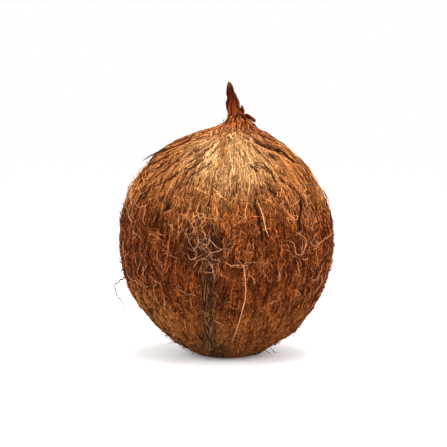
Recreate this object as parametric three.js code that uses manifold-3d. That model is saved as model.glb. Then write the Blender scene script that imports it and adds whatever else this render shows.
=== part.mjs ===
// A brown coconut, sold with the coir coat still on the shell and a pointed tuft of husk left at
// its stalk end. It grew as one piece, so it is one solid: a round belly, a slightly pointed crown,
// a leaning tuft of twisted fibre, and the torn scraps of husk that cling to the tuft's foot.
// Millimetres, +Z up. The origin is the middle of the base, and the front faces -Y.
import * as THREE from "three";
import { mergeVertices } from "three/addons/utils/BufferGeometryUtils.js";
import Module from "manifold-3d";

// Driving dimensions.
const WIDTH = 120; // across the belly, side to side
const DEPTH = 117; // across the belly, front to back
const HEIGHT = 153; // over the tuft's tip
const REST_RADIUS = 16; // the small flat spot that it stands on
const BELLY_Z = 65; // height of the widest ring
const CROWN_Z = 128; // height at which the round body would close
const CROWN_EDGE_Z = 124; // where the crown starts to sweep up into the tuft
const TUFT_FOOT_Z = 135; // where the sweep ends and the tuft runs straight
const TUFT_FOOT_RADIUS = 5.6;
const TUFT_WAIST_RADIUS = 3.4;
const TIP_Z = 152.2; // shoulder of the blunt tip
const TIP_RADIUS = 1.3;

// How the solid is divided.
const MERIDIANS = 72;
const LOWER_RINGS = 17;
const UPPER_RINGS = 15;
const SWEEP_RINGS = 6;
const TUFT_RINGS = 8;

// The husk's unevenness round the axis, and the heights between which it comes and goes.
const FRONT_KEEL = THREE.MathUtils.degToRad(-98); // one of three blunt keels, near the front
const KEEL_HEIGHT = 0.9;
const BUNDLES = 18; // broad fibre bundles that ripple the surface
const BUNDLE_HEIGHT = 0.3;
const BUNDLE_DRIFT = 30; // millimetres of height for each radian that the ripples drift
const RIPPLES_START = [2, 40];
const RIPPLES_END = [106, 128];
const TUFT_STRANDS = 5; // twisted strands in the tuft
const STRAND_DEPTH = 0.1; // as a share of the tuft's radius
const TWIST_PER_MM = 0.16; // radians
const TUFT_FLATNESS = 0.8; // the tuft's depth over its width

// Where the middle of each level lies, as x, y and height: the tuft grows right of centre, and
// then bends back over the middle.
const MIDDLE = [
  [0.9, 0, 0],
  [1.1, 0, 12],
  [0.1, 0, 50],
  [0, 0, 80],
  [-0.4, 0, 105],
  [1, 0.4, 119],
  [7, 1, 131],
  [4.3, 0.6, 141],
  [2, 0, HEIGHT],
];
const MIDDLE_STEPS = 160;

// The torn scraps at the tuft's foot: each stands on its broken foot, which is sunk into the husk.
const SCRAPS = [
  { length: 7, width: 3, thickness: 1.2, at: [10.6, -0.6, 135], tilt: 0.42, turn: 0.5 },
  { length: 9, width: 3.4, thickness: 1.4, at: [14.2, -1.2, 130], tilt: 0.8, turn: 0.35 },
  { length: 6, width: 2.4, thickness: 1, at: [11.6, 3.6, 132.2], tilt: 0.6, turn: -0.5 },
  { length: 5, width: 2, thickness: 0.9, at: [0.2, 0.8, 129.4], tilt: -0.35, turn: 0.3 },
];

const wasm = await Module();
wasm.setup();

// The outline from the resting spot up to the tip, as radius against height.
function outline() {
  const bellyRadius = WIDTH / 2;
  const lowerHeight = BELLY_Z / Math.sqrt(1 - (REST_RADIUS / bellyRadius) ** 2);
  const upperHeight = CROWN_Z - BELLY_Z;
  const restAngle = -Math.asin(BELLY_Z / lowerHeight);
  const edgeAngle = Math.asin((CROWN_EDGE_Z - BELLY_Z) / upperHeight);
  const lower = new THREE.EllipseCurve(0, BELLY_Z, bellyRadius, lowerHeight, restAngle, 0);
  const upper = new THREE.EllipseCurve(0, BELLY_Z, bellyRadius, upperHeight, 0, edgeAngle);
  const tuftFoot = new THREE.Vector2(TUFT_FOOT_RADIUS, TUFT_FOOT_Z);
  const sweepCorner = new THREE.Vector2(1.5 * TUFT_FOOT_RADIUS, CROWN_Z + 1);
  const sweep = new THREE.QuadraticBezierCurve(upper.getPoint(1), sweepCorner, tuftFoot);
  const waist = new THREE.Vector2(TUFT_WAIST_RADIUS, (TUFT_FOOT_Z + TIP_Z) / 2);
  const tip = new THREE.Vector2(TIP_RADIUS, TIP_Z);
  const tuft = new THREE.QuadraticBezierCurve(tuftFoot, waist, tip);
  return [
    new THREE.Vector2(0, 0),
    ...lower.getPoints(LOWER_RINGS),
    ...upper.getPoints(UPPER_RINGS).slice(1),
    ...sweep.getPoints(SWEEP_RINGS).slice(1),
    ...tuft.getPoints(TUFT_RINGS).slice(1),
    new THREE.Vector2(0, HEIGHT),
  ];
}

const middleLine = new THREE.CatmullRomCurve3(MIDDLE.map((p) => new THREE.Vector3(...p)));
const middleSamples = middleLine.getPoints(MIDDLE_STEPS);

function middleAt(z) {
  const i = middleSamples.findIndex((p) => p.z >= z);
  if (i < 0) return middleSamples[MIDDLE_STEPS];
  if (i === 0) return middleSamples[0];
  const below = middleSamples[i - 1];
  const above = middleSamples[i];
  return below.clone().lerp(above, (z - below.z) / (above.z - below.z));
}

// How far the husk stands out beyond its round outline, at an angle and a height on the body.
function swelling(angle, z) {
  const keels = KEEL_HEIGHT * Math.cos(3 * (angle - FRONT_KEEL));
  const bundles = BUNDLE_HEIGHT * Math.sin(BUNDLES * angle + 2 * Math.sin(2 * angle) + z / BUNDLE_DRIFT);
  const start = THREE.MathUtils.smoothstep(z, ...RIPPLES_START);
  const end = THREE.MathUtils.smoothstep(z, ...RIPPLES_END);
  return start * (1 - end) * (keels + bundles);
}

// The outline is turned round the axis, then pressed into the coconut's own uneven shape.
function nutGeometry() {
  const geometry = new THREE.LatheGeometry(outline(), MERIDIANS);
  geometry.rotateX(Math.PI / 2);
  const position = geometry.getAttribute("position");
  const p = new THREE.Vector3();
  for (let i = 0; i < position.count; i++) {
    p.fromBufferAttribute(position, i);
    const angle = Math.atan2(p.y, p.x);
    const radius = Math.hypot(p.x, p.y);
    const onTuft = THREE.MathUtils.smoothstep(p.z, CROWN_Z, TUFT_FOOT_Z);
    const twist = TUFT_STRANDS * (angle - TWIST_PER_MM * (p.z - CROWN_Z));
    const strands = 1 + onTuft * STRAND_DEPTH * Math.cos(twist);
    const scale = radius > 0 ? ((radius + swelling(angle, p.z)) * strands) / radius : 1;
    const flatness = THREE.MathUtils.lerp(DEPTH / WIDTH, TUFT_FLATNESS, onTuft);
    const centre = middleAt(p.z);
    position.setXYZ(i, p.x * scale + centre.x, p.y * scale * flatness + centre.y, p.z);
  }
  return geometry;
}

// A ragged chip of husk, cut out as a plate and then stood up, turned and tilted.
function scrapGeometry({ length, width, thickness, at, tilt, turn }) {
  const edge = [
    [-0.5, -0.45],
    [0.45, -0.5],
    [0.5, 0.15],
    [0.2, 0.3],
    [0.12, 0.5],
    [-0.18, 0.36],
    [-0.42, 0.46],
    [-0.36, 0.05],
  ];
  const ragged = new THREE.Shape(edge.map(([x, y]) => new THREE.Vector2(x * width, y * length)));
  const geometry = new THREE.ExtrudeGeometry(ragged, { depth: thickness, bevelEnabled: false });
  geometry.translate(0, 0, -thickness / 2);
  geometry.rotateX(Math.PI / 2);
  geometry.rotateZ(turn);
  geometry.rotateY(tilt);
  geometry.translate(...at);
  return geometry;
}

function solidOf(geometry) {
  geometry.deleteAttribute("normal");
  geometry.deleteAttribute("uv");
  const merged = mergeVertices(geometry, 1e-3);
  const vertProperties = merged.getAttribute("position").array;
  const triVerts = new Uint32Array(merged.index.array);
  return new wasm.Manifold(new wasm.Mesh({ numProp: 3, vertProperties, triVerts }));
}

function geometryOf(solid) {
  const mesh = solid.getMesh();
  const geometry = new THREE.BufferGeometry();
  geometry.setAttribute("position", new THREE.BufferAttribute(mesh.vertProperties, 3));
  geometry.setIndex(new THREE.BufferAttribute(mesh.triVerts, 1));
  return geometry;
}

// The whole nut with its scraps, set so that the middle of its base is the origin.
function coconutGeometry() {
  let solid = solidOf(nutGeometry());
  for (const scrap of SCRAPS) {
    solid = solid.add(solidOf(scrapGeometry(scrap)));
  }
  const geometry = geometryOf(solid);
  geometry.computeBoundingBox();
  const { min, max } = geometry.boundingBox;
  geometry.translate(-(min.x + max.x) / 2, -(min.y + max.y) / 2, -min.z);
  geometry.computeVertexNormals();
  return geometry;
}

const coir = new THREE.MeshStandardMaterial({ color: 0x8a4a22, roughness: 0.85, metalness: 0 });

const coconut = new THREE.Mesh(coconutGeometry(), coir);
coconut.name = "coconut";

const part = new THREE.Group();
part.add(coconut);
export default part;
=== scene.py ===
# %% [markdown]
# # A coconut in its coir coat
# A mature coconut is a hard nut under a coat of coir: stiff brown fibres that grew from the base
# up to the stalk. The fibres lie combed and golden on the crown, matted and red-brown round the
# belly, and rubbed smooth near the base, and at the stalk end they twist into a pointed tuft.
#
# This lesson builds that coat in four layers: the skin, a closed mesh with real furrows; the
# strands, thousands of thin tubes that Geometry Nodes lay on the skin; the loose strands that
# give this nut its own face; and the tuft with its torn scraps. It starts by loading the fixed
# frame, a plain solid of the same nut, which gives every size and place.

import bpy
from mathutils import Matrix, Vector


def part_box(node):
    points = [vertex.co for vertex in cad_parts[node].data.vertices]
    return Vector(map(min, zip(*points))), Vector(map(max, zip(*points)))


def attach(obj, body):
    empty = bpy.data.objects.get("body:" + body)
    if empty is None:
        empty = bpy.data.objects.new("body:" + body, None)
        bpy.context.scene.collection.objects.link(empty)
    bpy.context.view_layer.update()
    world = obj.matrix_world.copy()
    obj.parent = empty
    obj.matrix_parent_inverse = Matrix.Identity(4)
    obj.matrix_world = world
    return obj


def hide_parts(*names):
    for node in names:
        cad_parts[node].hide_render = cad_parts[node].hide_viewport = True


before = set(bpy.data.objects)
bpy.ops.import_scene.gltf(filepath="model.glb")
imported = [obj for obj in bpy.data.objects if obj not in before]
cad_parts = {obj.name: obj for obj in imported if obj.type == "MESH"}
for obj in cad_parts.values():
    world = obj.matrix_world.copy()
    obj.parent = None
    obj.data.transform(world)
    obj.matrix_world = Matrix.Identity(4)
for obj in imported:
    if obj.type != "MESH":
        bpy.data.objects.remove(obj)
print("the frame's nodes:", list(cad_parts))

# %% Measure the frame
import math

import bpy
import numpy as np
from mathutils import Vector
from mathutils.bvhtree import BVHTree

NUT = "coconut"
MM = 0.001
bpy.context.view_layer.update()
nut_low, nut_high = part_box(NUT)
HEIGHT = nut_high.z / MM
BELLY = (nut_high.x - nut_low.x) / 2 / MM
print("the nut stands", round(HEIGHT, 1), "mm high, and its belly's radius is", round(BELLY, 1))

# %% [markdown]
# ## Camera, light and floor
# The nut stands in an even white studio, seen almost level from the front with a long lens, so
# that its outline is nearly flat. A broad soft light hangs above, one stands at each side, and
# the white room fills the rest. The floor is plain white, and the nut's own soft shadow is
# the only thing on it.

# %% The camera
CAMERA_LENS = 100
CAMERA_TILT = math.radians(4)
CAMERA_REACH = 4.56 * HEIGHT * MM
AIM = Vector((-1.4, 0, 0.481 * HEIGHT)) * MM

camera_data = bpy.data.cameras.new("camera")
camera_data.lens = CAMERA_LENS
camera = bpy.data.objects.new("camera", camera_data)
back = Vector((0, -math.cos(CAMERA_TILT), math.sin(CAMERA_TILT)))
camera.location = AIM + back * CAMERA_REACH
camera.rotation_euler = (math.pi / 2 - CAMERA_TILT, 0, 0)
bpy.context.collection.objects.link(camera)
bpy.context.scene.camera = camera
print("the camera stands", round(CAMERA_REACH, 3), "m away")

# %% Lights, room and floor
# Each light's power in watts, its side in metres, and its place.
LIGHTS = {
    "top_light": (6.0, 0.6, (0.08, 0.02, 0.85)),
    "right_light": (4.8, 0.5, (0.68, -0.30, 0.42)),
    "left_light": (4.8, 0.5, (-0.68, -0.30, 0.42)),
}
ROOM_LIGHT = 1.0
FLOOR_HALF = 12
FLOOR_WHITE = 0.94
FLOOR_ROUGHNESS = 0.6
FLOOR_GLOW = 0.05
WHITE = (1, 1, 1, 1)

for name, (power, size, stand) in LIGHTS.items():
    data = bpy.data.lights.new(name, "AREA")
    data.energy = power
    data.size = size
    light = bpy.data.objects.new(name, data)
    light.location = stand
    aim = Vector((0, 0, HEIGHT * MM / 2)) - Vector(stand)
    light.rotation_euler = aim.to_track_quat("-Z", "Y").to_euler()
    bpy.context.collection.objects.link(light)

room = bpy.data.worlds.new("white_room")
room.use_nodes = True
sky = room.node_tree.nodes["Background"]
sky.inputs["Color"].default_value = WHITE
sky.inputs["Strength"].default_value = ROOM_LIGHT
bpy.context.scene.world = room
bpy.context.scene.view_settings.view_transform = "Standard"

floor_mesh = bpy.data.meshes.new("floor")
corners = [(x * FLOOR_HALF, y * FLOOR_HALF, 0) for x, y in ((-1, -1), (1, -1), (1, 1), (-1, 1))]
floor_mesh.from_pydata(corners, [], [(0, 1, 2, 3)])
floor = bpy.data.objects.new("floor", floor_mesh)
bpy.context.collection.objects.link(floor)
floor_paint = bpy.data.materials.new("white_floor")
floor_paint.use_nodes = True
floor_shader = floor_paint.node_tree.nodes["Principled BSDF"]
floor_shader.inputs["Base Color"].default_value = (FLOOR_WHITE, FLOOR_WHITE, FLOOR_WHITE, 1)
floor_shader.inputs["Roughness"].default_value = FLOOR_ROUGHNESS
floor_shader.inputs["Emission Color"].default_value = WHITE
floor_shader.inputs["Emission Strength"].default_value = FLOOR_GLOW
floor_mesh.materials.append(floor_paint)
print("the stage has a floor,", len(LIGHTS), "lights and a white room")

# %% [markdown]
# ## Short hands for nodes
# Everything below is built from nodes, so a few small helpers keep it readable: `put` adds a node
# and fills its sockets by name, with values or with wires from other nodes, `calc`, `times` and
# `vec` do sums on numbers and on vectors, and `remap` turns one range into another.

# %% Helpers for node trees


def put(tree, kind, sockets=None, **settings):
    """Adds a node. Sockets are filled by name or number, with a value or another node's output."""
    made = tree.nodes.new(kind)
    for key, value in settings.items():
        setattr(made, key, value)
    for key, value in (sockets or {}).items():
        if isinstance(value, bpy.types.NodeSocket):
            tree.links.new(value, made.inputs[key])
        else:
            made.inputs[key].default_value = value
    return made


def calc(tree, operation, *values):
    """One sum on numbers."""
    return put(tree, "ShaderNodeMath", dict(enumerate(values)), operation=operation).outputs[0]


def times(tree, product, *values):
    """The product of several numbers."""
    for value in values:
        product = calc(tree, "MULTIPLY", product, value)
    return product


def vec(tree, operation, *values, **by_name):
    """One sum on vectors."""
    sockets = dict(enumerate(values)) | by_name
    made = put(tree, "ShaderNodeVectorMath", sockets, operation=operation)
    return made.outputs["Value" if operation == "DISTANCE" else "Vector"]


def remap(tree, value, low, high, to_low=0.0, to_high=1.0, smooth=True):
    """Turns low..high into to_low..to_high, and holds the ends."""
    sockets = {"Value": value, "From Min": low, "From Max": high}
    sockets |= {"To Min": to_low, "To Max": to_high}
    kind = "SMOOTHSTEP" if smooth else "LINEAR"
    return put(tree, "ShaderNodeMapRange", sockets, interpolation_type=kind).outputs["Result"]


def blend_colour(tree, share, first, second, kind="MIX"):
    """Mixes two colours."""
    settings = {"data_type": "RGBA", "blend_type": kind, "clamp_factor": True}
    return put(tree, "ShaderNodeMix", {0: share, 6: first, 7: second}, **settings).outputs[2]


def brighten(tree, colour, value):
    """Makes a colour so many times as bright."""
    sockets = {"Color": colour, "Value": value}
    return put(tree, "ShaderNodeHueSaturation", sockets).outputs["Color"]


def ramp(tree, value, stops):
    """A colour ramp through (place, colour) stops."""
    made = put(tree, "ShaderNodeValToRGB", {"Fac": value})
    elements = made.color_ramp.elements
    while len(elements) < len(stops):
        elements.new(1)
    for element, (place, colour) in zip(elements, stops):
        element.position = place
        element.color = (*colour, 1)
    return made.outputs["Color"]


def group_of(kind, name, inputs, outputs):
    """An empty node group with named sockets, and its two end nodes."""
    tree = bpy.data.node_groups.new(name, kind)
    for side, sockets in (("INPUT", inputs), ("OUTPUT", outputs)):
        for label, socket, value in sockets:
            made = tree.interface.new_socket(name=label, in_out=side, socket_type=socket)
            if value is not None:
                made.default_value = value
    return tree, tree.nodes.new("NodeGroupInput"), tree.nodes.new("NodeGroupOutput")


print("the helpers are ready")

# %% [markdown]
# ## The colours of coir
# One shader group says what colour the coir is at each place on the nut, and the skin and all the
# strands use it, so the layers agree. It reads the height for the broad bands: golden on the
# crown, red-brown at the belly, warmer again where the base is rubbed, and dark maroon on the
# tuft. A slow noise pushes the bands up and down so that no band has a straight edge.

# %% The bands of colour
# Each stop is a height in millimetres and a colour.
BANDS = [
    (0, (0.15, 0.060, 0.020)),
    (9, (0.27, 0.086, 0.018)),
    (26, (0.27, 0.076, 0.015)),
    (48, (0.235, 0.054, 0.011)),
    (72, (0.285, 0.070, 0.015)),
    (84, (0.42, 0.130, 0.030)),
    (96, (0.60, 0.220, 0.060)),
    (117, (0.66, 0.255, 0.074)),
    (125, (0.41, 0.115, 0.028)),
    (132, (0.44, 0.110, 0.024)),
    (138, (0.40, 0.078, 0.018)),
    (143, (0.20, 0.026, 0.009)),
    (149, (0.13, 0.016, 0.008)),
    (152.5, (0.36, 0.130, 0.050)),
]
BAND_DRIFT = 11
LEFT_SINK = 6

coir_tree, coir_in, coir_out = group_of(
    "ShaderNodeTree",
    "coir_colour",
    [("Place", "NodeSocketVector", None), ("Seam", "NodeSocketFloat", 0.0)],
    [("Colour", "NodeSocketColor", None), ("Height", "NodeSocketFloat", None)],
)
place = coir_in.outputs["Place"]
apart = put(coir_tree, "ShaderNodeSeparateXYZ", {0: place}).outputs
slow = put(coir_tree, "ShaderNodeTexNoise", {"Vector": place, "Scale": 26.0, "Detail": 2.0})
cloud = slow.outputs["Fac"]


def fade(axis, start, full):
    """Rises from 0 to 1 as the place goes from start to full, in millimetres along an axis."""
    return remap(coir_tree, apart[axis], start * MM, full * MM)


below_crown = fade("Z", 98, 79)
# A mask over part of the left side, darker and with its bands sunk a little, and one over part of the right
# side, brighter.
left_dim = times(coir_tree, fade("X", -12, -52), below_crown, fade("Z", 46, 66))
right_lift = times(coir_tree, fade("X", 12, 42), fade("Z", 42, 58), fade("Z", 86, 75))
drift = remap(coir_tree, cloud, 0.3, 0.7, -BAND_DRIFT * MM, BAND_DRIFT * MM, smooth=False)
drift = calc(coir_tree, "ADD", drift, times(coir_tree, left_dim, -LEFT_SINK * MM))
level = calc(coir_tree, "ADD", apart["Z"], times(coir_tree, drift, fade("Z", 126, 112)))
share = calc(coir_tree, "DIVIDE", level, HEIGHT * MM)
coir = ramp(coir_tree, share, [(z / HEIGHT, colour) for z, colour in BANDS])
print("the colour has", len(BANDS), "bands over", round(HEIGHT), "mm")

# %% [markdown]
# On top of the bands lie the marks of this one nut. The seams, the three lines along which the
# nut's parts grew together, are a weathered grey brown. Soft balls of colour make an ember glow
# on the right of the belly, the pale front of the crown, painted shade under the tangled curls,
# painted bounce light from the floor low on the left side, a dull shoulder and painted shade on
# the tuft's left side. A reddish cleft runs down the crown.

# %% The marks of this nut
# Each patch is a middle, the reach of its edge and of its core in millimetres, its greatest share
# and a colour.
PATCHES = {
    "ember": ((15, -56, 68), 24, 3, 0.8, (0.36, 0.090, 0.018, 1)),
    "pale_crown": ((3, -36, 112), 35, 9, 0.9, (0.82, 0.46, 0.19, 1)),
    # painted shade: a dark patch under the tangled curls
    "painted_shade_under_curls": ((-11, -56, 66), 18, 4, 0.75, (0.10, 0.028, 0.011, 1)),
    # painted light: a brighter, warmer patch low on the left for the floor's bounce light
    "painted_bounce_low_left": ((-40, -22, 19), 31, 10, 0.7, (0.40, 0.145, 0.034, 1)),
    "dull_shoulder": ((56, -12, 95), 22, 6, 0.55, (0.36, 0.115, 0.032, 1)),
    "tuft_shade": ((-4, -3, 142), 7.5, 2.5, 0.92, (0.016, 0.005, 0.006, 1)),
}
SEAM_GREY = (0.150, 0.086, 0.040, 1)
SEAM_SHARE = 0.85
CLEFT_RED = (0.42, 0.145, 0.042, 1)
CLEFT_X = -1.5
CLEFT_SHARE = 0.8

coir = blend_colour(coir_tree, times(coir_tree, coir_in.outputs["Seam"], SEAM_SHARE), coir, SEAM_GREY)
for middle, reach, core, most, colour in PATCHES.values():
    gone = vec(coir_tree, "DISTANCE", place, tuple(v * MM for v in middle))
    here = remap(coir_tree, gone, reach * MM, core * MM, 0.0, most)
    coir = blend_colour(coir_tree, here, coir, colour)
aside = calc(coir_tree, "ABSOLUTE", calc(coir_tree, "SUBTRACT", apart["X"], CLEFT_X * MM))
cleft = remap(coir_tree, aside, 3.0 * MM, 1.2 * MM, 0.0, CLEFT_SHARE)
cleft = times(coir_tree, cleft, fade("Y", -10, -16), fade("Z", 100, 112))
coir = blend_colour(coir_tree, cleft, coir, CLEFT_RED)
print("the coir has", len(PATCHES), "patches and a cleft")

# %% [markdown]
# The last sums say how bright the coir is. Part of the left side at mid height is darker, and
# part of the right side brighter. Upright streaks run down the sides, from a noise that is drawn
# out along the nut's height, and the slow noise makes the whole coat mottled.

# %% The coir's brightness
STREAK_STRETCH = 0.12
STREAK_SCALE = 330.0
STREAK_RANGE = (-0.40, 0.42)
MOTTLE_RANGE = (0.74, 0.98)
LEFT_DIMMING = -0.14
RIGHT_GAIN = 0.28

stretched = vec(coir_tree, "MULTIPLY", place, (1, 1, STREAK_STRETCH))
streaks = {"Vector": stretched, "Scale": STREAK_SCALE, "Detail": 1.0}
streaks = put(coir_tree, "ShaderNodeTexNoise", streaks).outputs["Fac"]
striped = remap(coir_tree, streaks, 0.35, 0.65, *STREAK_RANGE, smooth=False)
on_sides = times(coir_tree, below_crown, fade("Z", 10, 40))
striped = calc(coir_tree, "MULTIPLY_ADD", striped, on_sides, 1.0)
bright = calc(coir_tree, "MULTIPLY_ADD", left_dim, LEFT_DIMMING, 1.0)
bright = calc(coir_tree, "MULTIPLY_ADD", right_lift, RIGHT_GAIN, bright)
mottled = remap(coir_tree, cloud, 0.3, 0.7, *MOTTLE_RANGE, smooth=False)
shaded = brighten(coir_tree, coir, times(coir_tree, bright, mottled, striped))
coir_tree.links.new(shaded, coir_out.inputs["Colour"])
coir_tree.links.new(share, coir_out.inputs["Height"])
print("coir_colour has", len(coir_tree.nodes), "nodes")

# %% [markdown]
# Coir has a grain of its own: each fibre is a bundle of finer ones, with dull and shiny stretches.
# A second group makes that grain from a fine noise, and both the skin and the strands place it,
# each with its own scale.

# %% The grain of a fibre
grain_tree, grain_in, grain_out = group_of(
    "ShaderNodeTree",
    "fibre_grain",
    [("Vector", "NodeSocketVector", None), ("Scale", "NodeSocketFloat", 900.0)],
    [("Grain", "NodeSocketFloat", None), ("Dullness", "NodeSocketFloat", None)],
)
grain_wires = {"Vector": grain_in.outputs["Vector"], "Scale": grain_in.outputs["Scale"]}
fine = put(grain_tree, "ShaderNodeTexNoise", grain_wires | {"Detail": 3.0, "Roughness": 0.65})
grain = remap(grain_tree, fine.outputs["Fac"], 0.32, 0.68)
dull = remap(grain_tree, fine.outputs["Fac"], 0.3, 0.7, 0.62, 0.92, smooth=False)
grain_tree.links.new(grain, grain_out.inputs["Grain"])
grain_tree.links.new(dull, grain_out.inputs["Dullness"])
print("fibre_grain has", len(grain_tree.nodes), "nodes")

# %% [markdown]
# A finish reads what its mesh carries under a name: `seam` says how much of a seam the place is,
# `gap` how deep it lies in a furrow, where light is lost. Both groups are placed by helpers.

# %% What both finishes read
FURROW_LIGHT = 0.1


def attribute(tree, name):
    """The value that a mesh carries under a name."""
    return put(tree, "ShaderNodeAttribute", attribute_name=name).outputs


def coir_colour(tree):
    """The coir's colour at this place, with its seams, and the place itself."""
    here = put(tree, "ShaderNodeTexCoord").outputs["Object"]
    made = put(tree, "ShaderNodeGroup", node_tree=coir_tree)
    tree.links.new(here, made.inputs["Place"])
    tree.links.new(attribute(tree, "seam")["Fac"], made.inputs["Seam"])
    return made.outputs["Colour"], here


def grain_of(tree, vector, scale):
    """The fibre grain at this place."""
    made = put(tree, "ShaderNodeGroup", node_tree=grain_tree)
    tree.links.new(vector, made.inputs["Vector"])
    made.inputs["Scale"].default_value = scale
    return made.outputs["Grain"], made.outputs["Dullness"]


def furrow_shade(tree):
    """How much light is left down in a furrow."""
    return remap(tree, attribute(tree, "gap")["Fac"], 0.1, 0.75, 1.0, FURROW_LIGHT)


print("the finishes read seam, gap, comb and tone")

# %% [markdown]
# The two finishes place both groups. The skin is the matted underlayer, kept dark partly as its own
# colour and partly as painted shade between the strands, and multiplies its colour by a ramp over
# the grain. Each strand carries a tone of its own, and multiplies the coir's colour by a ramp over
# that tone, from dark and damp to pale and dry. Both lose their light in a furrow, as painted
# shade, and both are dull, with almost no gloss.

# %% Two materials: the skin and the strands
SKIN_TONES = [
    (0.0, (0.14, 0.07, 0.06)),
    (0.3, (0.50, 0.40, 0.36)),
    (0.65, (1.0, 1.0, 0.95)),
    (1.0, (1.45, 1.6, 1.65)),
]
STRAND_TONES = [
    (0.0, (0.05, 0.022, 0.024)),
    (0.3, (0.30, 0.21, 0.19)),
    (0.55, (1.0, 0.95, 0.9)),
    (0.78, (1.95, 2.15, 2.2)),
    (1.0, (2.3, 2.9, 3.2)),
]
DRY_STRAND = (0.62, 0.31, 0.17, 1)
GLOSS = 0.06


def skin_colour(tree, scale):
    """Matted fibres, dark partly as painted shade under the strands, and painted darker in furrows."""
    coir, _ = coir_colour(tree)
    grain, dullness = grain_of(tree, attribute(tree, "comb")["Vector"], scale)
    flecked = blend_colour(tree, 1.0, coir, ramp(tree, grain, SKIN_TONES), "MULTIPLY")
    return brighten(tree, flecked, furrow_shade(tree)), grain, dullness


def strand_colour(tree, scale):
    """Each strand has its own tone, from dark and red to pale and dry."""
    coir, here = coir_colour(tree)
    grain, dullness = grain_of(tree, here, scale)
    tone = attribute(tree, "tone")["Fac"]
    toned = blend_colour(tree, 1.0, coir, ramp(tree, tone, STRAND_TONES), "MULTIPLY")
    dried = blend_colour(tree, remap(tree, tone, 0.9, 1.0, 0.0, 0.85), toned, DRY_STRAND)
    streak = remap(tree, grain, 0.0, 1.0, 0.55, 1.35, smooth=False)
    return brighten(tree, dried, times(tree, streak, furrow_shade(tree))), grain, dullness


def finish_of(name, colour_of, scale, bump):
    """A coir material: its colour rule, its grain's scale and the grain's height."""
    made = bpy.data.materials.new(name)
    made.use_nodes = True
    tree = made.node_tree
    shader = tree.nodes["Principled BSDF"]
    colour, grain, dullness = colour_of(tree, scale)
    tree.links.new(colour, shader.inputs["Base Color"])
    tree.links.new(dullness, shader.inputs["Roughness"])
    raised = put(tree, "ShaderNodeBump", {"Height": grain, "Distance": bump * MM})
    tree.links.new(raised.outputs["Normal"], shader.inputs["Normal"])
    shader.inputs["Specular IOR Level"].default_value = GLOSS
    return made


skin_finish = finish_of("coir_skin", skin_colour, 1600.0, 0.2)
strand_finish = finish_of("coir_strand", strand_colour, 1500.0, 0.08)
print("made", skin_finish.name, "and", strand_finish.name)

# %% [markdown]
# ## The skin
# The skin is one closed sheet round the whole nut. It could be a copy of the frame's solid,
# subdivided, but its furrows have to run along the fibres, so the sheet is made of rings and
# meridians instead: level rays from the nut's middle line find the solid's surface, and the rings
# are closer together on the crown and the tuft, where the detail is.

# %% Trace the solid
ROUND = 400
FOOT_RINGS = 12
BODY_RINGS = 216
CROWN_Z = 100.0
TUFT_Z = 0.85 * HEIGHT

solid = BVHTree.FromObject(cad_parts[NUT], bpy.context.evaluated_depsgraph_get())
angles = np.arange(ROUND) * 2 * math.pi / ROUND
angle_grid = np.degrees(angles)[None, :]
outward = np.stack([np.sin(angles), -np.cos(angles)], 1)


def smooth_step(value, low, high):
    """0 below low, 1 above high, and a soft slope between."""
    t = np.clip((np.asarray(value, float) - low) / (high - low), 0, 1)
    return t * t * (3 - 2 * t)


def trace_ring(z, middle, step=1):
    """How far the surface is from the middle at height z, in the direction of each angle."""
    start = Vector((middle[0] * MM, middle[1] * MM, z * MM))
    found = [solid.ray_cast(start, (x, y, 0))[3] for x, y in outward[::step]]
    return np.array([0.0 if f is None else f for f in found]) / MM


def find_middle(z, middle):
    """The middle of the section at height z, without the torn scraps that stick out of it."""
    for _ in range(3):
        reach = trace_ring(z, middle, 10)
        reach = np.minimum(reach, 1.3 * np.median(reach))
        edge = np.asarray(middle) + outward[::10] * reach[:, None]
        middle = (edge.min(0) + edge.max(0)) / 2
    return middle


probe_z = np.concatenate([np.linspace(0.4, TUFT_Z, 140), np.linspace(TUFT_Z, HEIGHT - 0.5, 40)[1:]])
probe_middle = [np.zeros(2)]
probe_radius = []
for z in probe_z:
    probe_middle.append(find_middle(z, probe_middle[-1]))
    probe_radius.append(np.median(trace_ring(z, probe_middle[-1], 10)))
probe_middle = np.array(probe_middle[1:])
tuft_x = float(np.interp(TUFT_Z, probe_z, probe_middle[:, 0]))
print("the tuft's foot lies", round(tuft_x, 1), "mm to the side of the nut's axis")

# %% [markdown]
# Rings are spread along the surface and not by height, because the crown is nearly level. The
# distance along the surface is also the coat's own measure of length, and noise that is drawn in
# it keeps its scale from the base to the tip. On its left side the tuft rises from a small notch,
# where a strip of husk has torn away.

# %% Spread the rings
NOTCH_DEPTH = 2.4

climb = np.hypot(np.diff(probe_radius, prepend=probe_radius[0]), np.diff(probe_z, prepend=0))
probe_path = np.cumsum(climb)
closeness = 1 + 0.8 * smooth_step(probe_z, CROWN_Z - 10, CROWN_Z + 8)
ring_rank = np.cumsum(climb * closeness)
ring_z = np.interp(np.linspace(ring_rank[0], ring_rank[-1], BODY_RINGS), ring_rank, probe_z)
ring_path = np.interp(ring_z, probe_z, probe_path)
ring_middle = np.stack([np.interp(ring_z, probe_z, probe_middle[:, i]) for i in (0, 1)], 1)


def full_ring(z, middle):
    """A ring's radius at every angle, with the scraps cut off and the facets smoothed."""
    reach = trace_ring(z, middle)
    if z > 0.8 * HEIGHT:
        reach = np.minimum(reach, 1.12 * np.median(reach))
    wide = np.concatenate([reach[-6:], reach, reach[:6]])
    return np.convolve(wide, np.ones(7) / 7, "same")[6:-6]


def near_angle(azimuth, spread):
    """A soft bump round the nut: 1 at an angle, and gone a few spreads away."""
    return np.exp(-(((angle_grid - azimuth) / spread) ** 2))


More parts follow.
